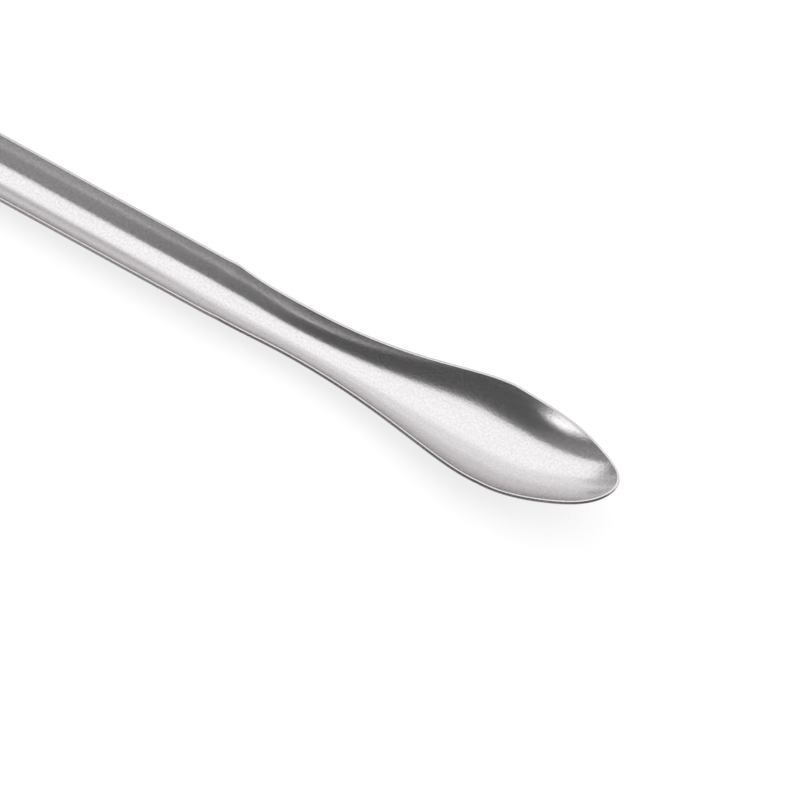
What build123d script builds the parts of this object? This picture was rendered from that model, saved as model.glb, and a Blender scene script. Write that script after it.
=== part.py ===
from build123d import *
from math import asin, cos, degrees, radians, sin, sqrt
import os

# A one-piece laboratory scoop, pressed from stainless steel sheet. A straight
# half-round gutter is the handle, and it runs through a slightly narrower neck
# into a deep pointed bowl with a raised, rounded tip.
#
# The handle is a gutter of one circular section. The bowl is cut flat to its
# plan outline, then pressed in a die, whose surface is a row of circular arcs
# across the tool. Their lowest point, the keel, is level up to the bowl's widest
# place and then climbs on an arc to the tip. Their radius follows from the width
# and the depth that the rim has. The cut edges are deburred all round.
#
# Frame: +X runs along the tool to the tip, +Z is up out of the hollow. The
# origin is the middle of the length and width, on the surface it lies on.
# All sizes are millimetres, and are of the outer (under) face of the sheet.

# Sheet, the radius of its deburred rim, and what that takes off each side
sheet = 0.4
rim_radius = 0.12
rim_loss = 0.04

# Lengths along the tool, the last four measured back from the tip
length = 180.0
shoulder_back = 41.9
neck_back = 34.6
bowl_back = 12.6

# Widths across the rim
handle_width = 6.75
neck_width = 6.1
bowl_width = 12.0

# Heights of the rim above the surface that the tool lies on
handle_depth = 2.4
neck_depth = 2.3
bowl_depth = 3.4
tip_height = 6.0

# Radius across the tip, and the length over which the handle's arc tightens
nose_radius = 4.2
neck_run = 9.5

# Pull of the outline's curves at the neck, at the widest place and at the tip
neck_pull = 11.9
flank_pull = 5.0
nose_pull = 4.6
tip_pull = 3.6

# The handle's far end, a plain cut with rounded corners
end_corner = 1.5

# Spacing of the die's arcs, and how far round and past the rim they reach
bowl_pitch = 3.0
die_reach = radians(82)
die_overrun = 1.2

half_handle = handle_width / 2 + rim_loss
half_neck = neck_width / 2 + rim_loss
half_bowl = bowl_width / 2 + rim_loss
x_tip = length / 2
x_end = -length / 2
x_shoulder = x_tip - shoulder_back
x_neck = x_tip - neck_back
x_bowl = x_tip - bowl_back
x_join = min(x_neck - neck_run, x_shoulder) - bowl_pitch
keel_radius = (bowl_back**2 + tip_height**2) / (2 * tip_height)


def arc_radius(half_width, depth):
    """Radius of the arc through both rims and the keel below them."""
    return (half_width**2 + depth**2) / (2 * depth)


def eased(first, last, share):
    """Go from first to last with no slope at either end."""
    share = min(max(share, 0), 1)
    return first + (last - first) * share * share * (3 - 2 * share)


def places(first, last, pitch):
    """Even places from first up to, but not at, last, about a pitch apart."""
    count = max(round((last - first) / pitch), 1)
    return [first + (last - first) * i / count for i in range(count)]


def across(x):
    """Plane across the tool at x, its own x and y along +Y and +Z."""
    return Plane((x, 0, 0), x_dir=(0, 1, 0), z_dir=(1, 0, 0))


def keel_height(x):
    """Height of the keel at x."""
    climb = max(x - x_bowl, 0)
    return keel_radius - sqrt(keel_radius**2 - climb**2)


# Plan outline of the blank from where the gutter begins to change
with BuildSketch() as blank:
    with BuildLine():
        Polyline((x_join - sheet, 0), (x_join - sheet, half_handle), (x_shoulder, half_handle))
        TangentArc((x_neck, half_neck), (x_shoulder, half_handle), tangent=(-1, 0))
        flank = Bezier(
            (x_neck, half_neck),
            (x_neck + neck_pull, half_neck),
            (x_bowl - flank_pull, half_bowl),
            (x_bowl, half_bowl),
        )
        Bezier(
            (x_bowl, half_bowl),
            (x_bowl + nose_pull, half_bowl),
            (x_tip, tip_pull),
            (x_tip, 0),
        )
        mirror(about=Plane.XZ)
    make_face()

# Radius of the die at each of its arcs: that of the handle, eased to the neck's,
# set by the outline and the climbing rim up to the widest place, eased to the tip
handle_radius = arc_radius(half_handle, handle_depth)
neck_radius = arc_radius(half_neck, neck_depth)
bowl_radius = arc_radius(half_bowl, bowl_depth)
die_arcs = [(x, handle_radius) for x in (x_join - die_overrun, x_join)]
for x in places(x_neck - neck_run, x_neck, bowl_pitch):
    die_arcs.append((x, eased(neck_radius, handle_radius, (x_neck - x) / neck_run)))
for share in places(0, 1, bowl_pitch / (x_bowl - x_neck)):
    rim = flank @ share
    rim_climb = ((rim.X - x_neck) / (x_bowl - x_neck)) ** 3
    rim_height = neck_depth + (bowl_depth - neck_depth) * rim_climb
    die_arcs.append((rim.X, arc_radius(rim.Y, rim_height)))
for x in places(x_bowl, x_tip + die_overrun, bowl_pitch) + [x_tip + die_overrun]:
    die_arcs.append((x, eased(bowl_radius, nose_radius, (x - x_bowl) / bowl_back)))

# Die: its underside is the pressed surface
with BuildPart() as die:
    for x, radius in die_arcs:
        keel = keel_height(x)
        side = radius * sin(die_reach)
        top = keel + radius * (1 - cos(die_reach))
        with BuildSketch(across(x)):
            with BuildLine():
                ThreePointArc((-side, top), (0, keel), (side, top))
                Line((side, top), (-side, top))
            make_face()
    loft()
pressed_surface = die.faces().sort_by(SortBy.AREA)[-1]

# Cutter of the blank's outline, tall enough for the whole pressed form
with BuildPart() as trim:
    add(blank.sketch)
    extrude(amount=tip_height + bowl_width, both=True)

# Bowl and neck: pressed sheet whose cut edge stays square to its face
formed_face = pressed_surface & trim.part
with BuildPart() as bowl:
    thicken(formed_face, amount=sheet, normal_override=(0, 0, 1))
    split(bisect_by=across(x_join), keep=Keep.TOP)

# Handle: a straight gutter of the same section, cut plainly across its far end
gutter_turn = degrees(asin(half_handle / handle_radius))
with BuildPart() as handle:
    with BuildSketch(across(x_join)):
        with BuildLine():
            outside = CenterArc((0, handle_radius), handle_radius, -90 - gutter_turn, 2 * gutter_turn)
            inside = CenterArc(
                (0, handle_radius), handle_radius - sheet, -90 - gutter_turn, 2 * gutter_turn
            )
            Line(outside @ 0, inside @ 0)
            Line(outside @ 1, inside @ 1)
        make_face()
    extrude(amount=x_end - x_join)
    far_end = handle.faces().sort_by(Axis.X)[0]
    fillet(far_end.edges().sort_by(SortBy.LENGTH)[:2], min(end_corner, half_handle / 2))

# The whole tool, with its cut edges deburred
with BuildPart() as spatula:
    add(handle.part)
    add(bowl.part)
    joint = spatula.edges().filter_by_position(Axis.X, x_join - 0.01, x_join + 0.01)
    rims = spatula.edges().filter_by(lambda edge: edge.length > 2 * sheet) - joint
    fillet(rims, min(rim_radius, 0.4 * sheet))

os.makedirs("parts", exist_ok=True)
spatula.part.label = "spatula"
export_step(spatula.part, "parts/spatula.step")
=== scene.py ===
from math import asin, cos, pi, radians, sin, sqrt

import bmesh
import bpy
from mathutils import Euler, Matrix, Vector


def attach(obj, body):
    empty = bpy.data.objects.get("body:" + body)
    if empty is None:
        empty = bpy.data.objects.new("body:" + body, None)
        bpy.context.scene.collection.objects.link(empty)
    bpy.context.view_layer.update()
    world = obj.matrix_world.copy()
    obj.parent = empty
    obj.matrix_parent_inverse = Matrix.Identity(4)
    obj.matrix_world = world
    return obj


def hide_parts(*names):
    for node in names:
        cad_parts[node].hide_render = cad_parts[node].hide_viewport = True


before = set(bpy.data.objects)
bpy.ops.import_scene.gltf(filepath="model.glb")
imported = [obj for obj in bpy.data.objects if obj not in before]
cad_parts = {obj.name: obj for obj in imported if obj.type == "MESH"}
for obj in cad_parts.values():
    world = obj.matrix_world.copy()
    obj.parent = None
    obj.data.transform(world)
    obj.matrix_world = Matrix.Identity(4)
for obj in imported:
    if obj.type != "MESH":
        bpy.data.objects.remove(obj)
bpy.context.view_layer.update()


# The spatula: one strip of stainless steel sheet. The handle is a half-round
# gutter, and the bowl is cut to its outline, pressed in a die and deburred all
# round. The top of a wall stays straight where its arc would be too steep.

sheet = 0.0004
rim_radius = 0.00012
rim_loss = 0.00004

length = 0.180
shoulder_back = 0.0419
neck_back = 0.0346
bowl_back = 0.0126

handle_width = 0.00675
neck_width = 0.0061
bowl_width = 0.0120

handle_depth = 0.0024
neck_depth = 0.0023
bowl_depth = 0.0034
tip_height = 0.0060

neck_pull = 0.0119
flank_pull = 0.0050
nose_pull = 0.0046
tip_pull = 0.0036

nose_radius = 0.0042
neck_run = 0.0095
end_corner = 0.0015
steepest = radians(57)

half_handle = handle_width / 2 + rim_loss
half_neck = neck_width / 2 + rim_loss
half_bowl = bowl_width / 2 + rim_loss
x_tip = length / 2
x_end = -length / 2
x_shoulder = x_tip - shoulder_back
x_neck = x_tip - neck_back
x_bowl = x_tip - bowl_back
keel_radius = (bowl_back**2 + tip_height**2) / (2 * tip_height)

# Rows of the sheet's mesh along each stretch, and columns across it
end_rows = 12
handle_rows = 60
neck_rows = 24
flank_rows = 48
nose_rows = 40
columns = 56

# Room inside the rim for the deburring, and how far in the mesh makes way for it
rim_clear = 0.00020
rim_zone = 0.0007

# The bowl's outline in plan. The nose's rows end on the first part of its curve,
# of the share given below, and the last row lies along the rest.
flank_pulls = [
    Vector((x_neck, half_neck)),
    Vector((x_neck + neck_pull, half_neck)),
    Vector((x_bowl - flank_pull, half_bowl)),
    Vector((x_bowl, half_bowl)),
]
nose_pulls = [
    Vector((x_bowl, half_bowl)),
    Vector((x_bowl + nose_pull, half_bowl)),
    Vector((x_tip, tip_pull)),
    Vector((x_tip, 0.0)),
]
nose_side_share = 0.60


def along_curve(pulls, share):
    """Point of the outline's curve, from its first pull point to its last."""
    rest = 1 - share
    return (
        pulls[0] * rest**3
        + pulls[1] * 3 * rest**2 * share
        + pulls[2] * 3 * rest * share**2
        + pulls[3] * share**3
    )


def arc_radius(half_width, depth):
    """Radius of the arc through both rims and the keel below them."""
    return (half_width**2 + depth**2) / (2 * depth)


def eased(first, last, share):
    """Go from first to last with no slope at either end."""
    share = min(max(share, 0), 1)
    return first + (last - first) * share * share * (3 - 2 * share)


handle_radius = arc_radius(half_handle, handle_depth)
neck_radius = arc_radius(half_neck, neck_depth)
bowl_radius = arc_radius(half_bowl, bowl_depth)


def shoulder_half_width(x):
    """Half width of the handle, and of the shoulder that draws in to the neck."""
    if x <= x_shoulder:
        return half_handle
    draw = half_handle - half_neck
    bend = (shoulder_back - neck_back) ** 2 / (2 * draw) + draw / 2
    return half_neck + bend - sqrt(bend**2 - (x_neck - x) ** 2)


def cross_sections():
    """Place, half width and radius of each section between the far end and the nose."""
    found = []
    x_start = x_end + 2 * end_corner
    x_change = x_neck - neck_run
    for i in range(handle_rows):
        x = x_start + (x_change - x_start) * i / handle_rows
        found.append((x, shoulder_half_width(x), handle_radius))
    for i in range(neck_rows):
        x = x_change + neck_run * i / neck_rows
        radius = eased(neck_radius, handle_radius, (x_neck - x) / neck_run)
        found.append((x, shoulder_half_width(x), radius))
    for i in range(flank_rows):
        rim = along_curve(flank_pulls, i / flank_rows)
        climb = ((rim.x - x_neck) / (x_bowl - x_neck)) ** 3
        radius = arc_radius(rim.y, neck_depth + (bowl_depth - neck_depth) * climb)
        found.append((rim.x, rim.y, radius))
    return found


def section_shape(half_width, radius):
    """Arc radius, half turn of the arc and length of the straight wall above it.

    The rim stays where an arc of the given radius has it, but no wall is steeper
    than the steepest slope: above it the wall is straight, and the arc tighter.
    """
    turn = asin(half_width / radius)
    if turn <= steepest:
        return radius, turn, 0
    depth = radius * (1 - cos(turn))
    tighter = (half_width * sin(steepest) - depth * cos(steepest)) / (1 - cos(steepest))
    return tighter, steepest, (half_width - tighter * sin(steepest)) / cos(steepest)


def on_section(section, across):
    """Point of a straight cross section; across runs from -1 to 1, rim to rim."""
    x, half_width, radius = section
    radius, turn, straight = section_shape(half_width, radius)
    along = abs(across) * (radius * turn + straight)
    bent = min(along / radius, turn)
    past = max(along - radius * turn, 0)
    y = radius * sin(bent) + past * cos(turn)
    return Vector((x, y if across > 0 else -y, radius * (1 - cos(bent)) + past * sin(turn)))


def off_rim(spot, outline):
    """Move a spot that lies close to the rim further in, to leave room for the deburring."""
    nearest = min(outline, key=lambda mark: (mark - spot).length_squared)
    gap = (spot - nearest).length
    if gap > rim_zone:
        return spot
    return nearest + (spot - nearest) * (rim_clear / gap + 1 - rim_clear / rim_zone)


# The handle's far end is laid out flat, with the keel at 0 and the rim at reach
end_arc, end_turn, end_wall = section_shape(half_handle, handle_radius)
reach = end_arc * end_turn + end_wall
flat = reach - end_corner


def on_corner(angle):
    """Point of the rounded corner, from the end's cut at 0 to the long rim at a right angle."""
    return x_end + end_corner * (1 - cos(angle)), flat + end_corner * sin(angle)


cut_marks = 20
rim_marks = 60
end_edge = [Vector((x_end, flat * i / cut_marks)) for i in range(cut_marks)]
end_edge += [Vector(on_corner(pi / 2 * i / rim_marks)) for i in range(rim_marks)]
end_edge += [Vector((x_end + end_corner * (1 + 2 * i / rim_marks), reach)) for i in range(rim_marks)]


def on_end(share, across):
    """Point of the handle's far end, where the rows bend round its rounded corners."""
    half_bend = end_corner * pi / 4
    out = abs(across) * (flat + half_bend)
    cut_x, cut_out = on_corner((out - flat) / end_corner) if out > flat else (x_end, out)
    middle_x, middle_out = on_corner(pi / 4)
    run = share * (half_bend + end_corner)
    side_x, side_out = x_end + end_corner + run - half_bend, reach
    if run < half_bend:
        side_x, side_out = on_corner(pi / 4 + run / end_corner)
    x = side_x + (1 - share) * (cut_x - middle_x)
    out = (1 - share) * cut_out + abs(across) * (side_out - (1 - share) * middle_out)
    if share > 0 and abs(across) < 1:
        x, out = off_rim(Vector((x, out)), end_edge)
    return on_section((x, half_handle, handle_radius), out / reach if across > 0 else -out / reach)


nose_marks = 200
nose_edge = [along_curve(nose_pulls, i / nose_marks) for i in range(nose_marks + 1)]


def on_nose(share, across):
    """Point of the bowl's nose, where the rows bend round to follow the tip."""
    side = along_curve(nose_pulls, share * nose_side_share)
    corner = along_curve(nose_pulls, nose_side_share)
    tip = along_curve(nose_pulls, 1 - (1 - nose_side_share) * abs(across))
    tip_y = tip.y if across > 0 else -tip.y
    start_y = bowl_radius * sin(across * asin(half_bowl / bowl_radius))
    x = side.x + share * (tip.x - corner.x)
    y = (1 - share) * (start_y - across * half_bowl) + share * (tip_y - across * corner.y)
    y += across * side.y
    if share < 1 and abs(across) < 1:
        x, inside = off_rim(Vector((x, abs(y))), nose_edge)
        y = inside if across > 0 else -inside
    radius = eased(bowl_radius, nose_radius, (x - x_bowl) / bowl_back)
    keel = keel_radius - sqrt(keel_radius**2 - max(x - x_bowl, 0) ** 2)
    return Vector((x, y, keel + radius - sqrt(radius**2 - y**2)))


sections = cross_sections()
nose_start = end_rows + len(sections)
rows = nose_start + nose_rows

blank = bmesh.new()
bmesh.ops.create_grid(blank, x_segments=rows, y_segments=columns, size=1)
for point in blank.verts:
    row = round((point.co.x + 1) / 2 * rows)
    across = point.co.y
    if row < end_rows:
        point.co = on_end(row / end_rows, across)
    elif row < nose_start:
        point.co = on_section(sections[row - end_rows], across)
    else:
        point.co = on_nose((row - nose_start) / nose_rows, across)
bmesh.ops.reverse_faces(blank, faces=blank.faces[:])
for face in blank.faces:
    face.smooth = True

spatula_mesh = bpy.data.meshes.new("pressed_spatula")
blank.to_mesh(spatula_mesh)
blank.free()
spatula = bpy.data.objects.new("pressed_spatula", spatula_mesh)
bpy.context.scene.collection.objects.link(spatula)

wall = spatula.modifiers.new("sheet", "SOLIDIFY")
wall.thickness = sheet
wall.offset = -1
wall.use_even_offset = True
deburr = spatula.modifiers.new("deburred_rim", "BEVEL")
deburr.width = rim_radius
deburr.segments = 3
deburr.use_clamp_overlap = False
deburr.limit_method = "ANGLE"
deburr.angle_limit = radians(50)
deburr.harden_normals = True

# Satin stainless: the rolled sheet's grain runs lengthwise, and tumbling after
# pressing has left a fine mottle over it. The same finish is on both faces.

dark_steel = (0.575, 0.558, 0.562, 1)
light_steel = (0.670, 0.652, 0.656, 1)
grain_scale = (90, 5200, 5200)
mottle_scale = 4600
mottle_share = 0.75
relief_height = 0.00002

satin = bpy.data.materials.new("satin_stainless")
satin.use_nodes = True
nodes = satin.node_tree.nodes
links = satin.node_tree.links
nodes.clear()

surface = nodes.new("ShaderNodeBsdfPrincipled")
surface.inputs["Metallic"].default_value = 1.0
surface_out = nodes.new("ShaderNodeOutputMaterial")
links.new(surface.outputs["BSDF"], surface_out.inputs["Surface"])

place = nodes.new("ShaderNodeTexCoord")

drawn = nodes.new("ShaderNodeMapping")
drawn.inputs["Scale"].default_value = grain_scale
links.new(place.outputs["Object"], drawn.inputs["Vector"])
grain = nodes.new("ShaderNodeTexNoise")
grain.inputs["Scale"].default_value = 1.0
grain.inputs["Detail"].default_value = 3.0
links.new(drawn.outputs["Vector"], grain.inputs["Vector"])

mottle = nodes.new("ShaderNodeTexNoise")
mottle.inputs["Scale"].default_value = mottle_scale
mottle.inputs["Detail"].default_value = 2.0
links.new(place.outputs["Object"], mottle.inputs["Vector"])

relief = nodes.new("ShaderNodeMix")
relief.data_type = "FLOAT"
relief.inputs["Factor"].default_value = mottle_share
links.new(grain.outputs["Fac"], relief.inputs["A"])
links.new(mottle.outputs["Fac"], relief.inputs["B"])
bump = nodes.new("ShaderNodeBump")
bump.inputs["Strength"].default_value = 0.45
bump.inputs["Distance"].default_value = relief_height
links.new(relief.outputs["Result"], bump.inputs["Height"])
links.new(bump.outputs["Normal"], surface.inputs["Normal"])

tone = nodes.new("ShaderNodeValToRGB")
tone.color_ramp.elements[0].position = 0.35
tone.color_ramp.elements[0].color = dark_steel
tone.color_ramp.elements[1].position = 0.65
tone.color_ramp.elements[1].color = light_steel
links.new(relief.outputs["Result"], tone.inputs["Fac"])
links.new(tone.outputs["Color"], surface.inputs["Base Color"])

sheen = nodes.new("ShaderNodeMapRange")
sheen.inputs["To Min"].default_value = 0.18
sheen.inputs["To Max"].default_value = 0.27
links.new(mottle.outputs["Fac"], sheen.inputs["Value"])
links.new(sheen.outputs["Result"], surface.inputs["Roughness"])

spatula_mesh.materials.append(satin)
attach(spatula, "root")
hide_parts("spatula")


# The table: a plain pale floor that the spatula lies on. It shows white to the
# camera and in the metal, and keeps the spatula's soft shadow.

floor_side = 12
floor_drop = 0.00002
floor_grey = (0.31, 0.31, 0.31)
floor_glow = 0.72


def matt_surface(name, colour, glow):
    """Matt paper or cloth that can also glow plainly to the camera, in metal and through glass."""
    made = bpy.data.materials.new(name)
    made.use_nodes = True
    tree = made.node_tree
    matt = tree.nodes["Principled BSDF"]
    matt.inputs["Base Color"].default_value = (*colour, 1)
    matt.inputs["Roughness"].default_value = 1.0
    matt.inputs["Specular IOR Level"].default_value = 0.0
    matt.inputs["Emission Color"].default_value = (1, 1, 1, 1)
    rays = tree.nodes.new("ShaderNodeLightPath")
    seen = tree.nodes.new("ShaderNodeMath")
    seen.operation = "MAXIMUM"
    tree.links.new(rays.outputs["Is Camera Ray"], seen.inputs[0])
    tree.links.new(rays.outputs["Is Glossy Ray"], seen.inputs[1])
    seen_too = tree.nodes.new("ShaderNodeMath")
    seen_too.operation = "MAXIMUM"
    tree.links.new(seen.outputs["Value"], seen_too.inputs[0])
    tree.links.new(rays.outputs["Is Transmission Ray"], seen_too.inputs[1])
    level = tree.nodes.new("ShaderNodeMath")
    level.operation = "MULTIPLY"
    level.inputs[1].default_value = glow
    tree.links.new(seen_too.outputs["Value"], level.inputs[0])
    tree.links.new(level.outputs["Value"], matt.inputs["Emission Strength"])
    return made


def board(name, size, middle, turns, material):
    """Flat board of the studio, turned about X and then about Z, and set in its place."""
    shape = bmesh.new()
    bmesh.ops.create_grid(shape, x_segments=1, y_segments=1, size=0.5)
    bmesh.ops.scale(shape, verts=shape.verts[:], vec=(*size, 1))
    turned = Euler((turns[0], 0, turns[1])).to_matrix()
    bmesh.ops.rotate(shape, verts=shape.verts[:], cent=(0, 0, 0), matrix=turned)
    bmesh.ops.translate(shape, verts=shape.verts[:], vec=middle)
    mesh = bpy.data.meshes.new(name)
    shape.to_mesh(mesh)
    shape.free()
    mesh.materials.append(material)
    made = bpy.data.objects.new(name, mesh)
    bpy.context.scene.collection.objects.link(made)
    return made


floor_paper = matt_surface("floor_paper", floor_grey, floor_glow)
board("floor", (floor_side, floor_side), (0, 0, -floor_drop), (0, 0), floor_paper)


# The cards: only the metal shows four of them, a large dark one on the near side,
# a large pale one on the far side and a small grey one close by each side of the
# handle. The fifth is dark velvet, stood up past the handle's end.

upright = radians(90)
near_level = 0.12
even = ((0, 1), (1, 1))
velvet_grey = (0.10, 0.10, 0.10)


def graded_card(name, size, foot, along, upward):
    """Card stood on its foot, whose brightness in the metal changes along it and up it.

    Along and upward each hold pairs of a place and a level, the places in metres.
    """
    made = bpy.data.materials.new(name)
    made.use_nodes = True
    tree = made.node_tree
    tree.nodes.clear()
    point = tree.nodes.new("ShaderNodeTexCoord")
    axes = tree.nodes.new("ShaderNodeSeparateXYZ")
    tree.links.new(point.outputs["Object"], axes.inputs["Vector"])
    level = tree.nodes.new("ShaderNodeMath")
    level.operation = "MULTIPLY"
    for i, (axis, steps) in enumerate((("X", along), ("Z", upward))):
        first, last = steps[0][0], steps[-1][0]
        span = tree.nodes.new("ShaderNodeMapRange")
        span.inputs["From Min"].default_value = first
        span.inputs["From Max"].default_value = last
        tree.links.new(axes.outputs[axis], span.inputs["Value"])
        ramp = tree.nodes.new("ShaderNodeValToRGB")
        marks = ramp.color_ramp.elements
        while len(marks) < len(steps):
            marks.new(0.5)
        for mark, (where, grey) in zip(marks, steps):
            mark.position = (where - first) / (last - first)
            mark.color = (grey, grey, grey, 1)
        tree.links.new(span.outputs["Result"], ramp.inputs["Fac"])
        tree.links.new(ramp.outputs["Color"], level.inputs[i])
    glow = tree.nodes.new("ShaderNodeEmission")
    tree.links.new(level.outputs["Value"], glow.inputs["Strength"])
    out = tree.nodes.new("ShaderNodeOutputMaterial")
    tree.links.new(glow.outputs["Emission"], out.inputs["Surface"])
    card = board(name, size, (*foot, size[1] / 2), (upright, 0), made)
    card.visible_camera = False
    card.visible_diffuse = False
    card.visible_shadow = False


graded_card(
    "near_card",
    size=(2.6, 0.80),
    foot=(-0.30, -0.33),
    along=even,
    upward=((0, near_level), (1, near_level)),
)
graded_card(
    "handle_panel",
    size=(0.20, 0.055),
    foot=(-0.038, -0.030),
    along=((0.040, 0.37), (0.056, 0.25), (0.062, 0.20)),
    upward=even,
)
graded_card(
    "far_card",
    size=(1.35, 0.18),
    foot=(0.535, 0.15),
    along=even,
    upward=((0.0, 0.15), (0.010, 0.15), (0.018, 0.95), (0.08, 1.15), (0.18, 1.15)),
)
velvet = matt_surface("black_velvet", velvet_grey, 0)
end_card = board("end_card", (0.70, 0.22), (-0.62, 0, 0.11), (upright, radians(90)), velvet)
end_card.visible_camera = False
graded_card(
    "handle_flag",
    size=(0.20, 0.030),
    foot=(-0.044, 0.030),
    along=((0.046, 1.0), (0.056, 2.0)),
    upward=((0.0, 0.50), (0.018, 0.55), (0.030, 0.85)),
)


# The light: a wide soft box overhead that reaches back past the handle's end, a
# small one low on the near side that lights the wall near the tip, and a plain
# grey room.


def soft_box(name, radiance, size, place, aim):
    """Soft rectangular lamp of a given brightness, turned to its aim."""
    lamp = bpy.data.lights.new(name, "AREA")
    lamp.shape = "RECTANGLE"
    lamp.size, lamp.size_y = size
    lamp.energy = radiance * pi * size[0] * size[1]
    made = bpy.data.objects.new(name, lamp)
    made.location = place
    made.rotation_euler = (Vector(aim) - Vector(place)).to_track_quat("-Z", "Y").to_euler()
    made.visible_camera = False
    bpy.context.scene.collection.objects.link(made)


soft_box(
    "overhead_soft_box",
    radiance=1.03,
    size=(1.20, 0.50),
    place=(0.01, 0.120, 0.30),
    aim=(0.01, 0.120, 0),
)
soft_box(
    "tip_soft_box",
    radiance=2.2,
    size=(0.070, 0.12),
    place=(-0.057, -0.30, 0.066),
    aim=(0.084, 0, 0.004),
)

room_grey = (0.42, 0.42, 0.42, 1)
room = bpy.data.worlds.new("grey_room")
bpy.context.scene.world = room
room.use_nodes = True
room.node_tree.nodes["Background"].inputs["Color"].default_value = room_grey


# The camera: a long lens from above the near side and a little towards the
# handle, rolled so that the tool falls away to the lower right.

view_rise = radians(58)
view_lean = radians(12.2)
tool_fall = radians(28.8)
camera_distance = 0.70
picture_pixels = 800
pixels_per_metre = 10450

# Where the picture's left edge cuts the tool, and from there to its middle
left_edge_point = Vector((0.02254, 0, 0.0024))
along_to_middle = 0.04424
down_to_middle = 0.00108
back_to_middle = 0.0096

tool_along = Vector((cos(view_lean), -sin(view_lean) * cos(view_rise), sin(view_lean) * sin(view_rise)))
tool_down = Vector((0, -sin(view_rise), -cos(view_rise)))
to_camera = Vector((-sin(view_lean), -cos(view_lean) * cos(view_rise), cos(view_lean) * sin(view_rise)))
picture_right = tool_along * cos(tool_fall) - tool_down * sin(tool_fall)
picture_up = -(tool_along * sin(tool_fall) + tool_down * cos(tool_fall))
aim = left_edge_point + tool_along * along_to_middle + tool_down * down_to_middle
aim -= to_camera * back_to_middle

lens = bpy.data.cameras.new("camera")
lens.type = "PERSP"
lens.sensor_width = 36
lens.lens = lens.sensor_width * camera_distance * pixels_per_metre / picture_pixels
lens.clip_start = 0.01
lens.clip_end = 20
camera = bpy.data.objects.new("camera", lens)
facing = Matrix((picture_right, picture_up, to_camera)).transposed().to_4x4()
camera.matrix_world = Matrix.Translation(aim + to_camera * camera_distance) @ facing
bpy.context.scene.collection.objects.link(camera)
bpy.context.scene.camera = camera

bpy.context.scene.view_settings.view_transform = "Standard"
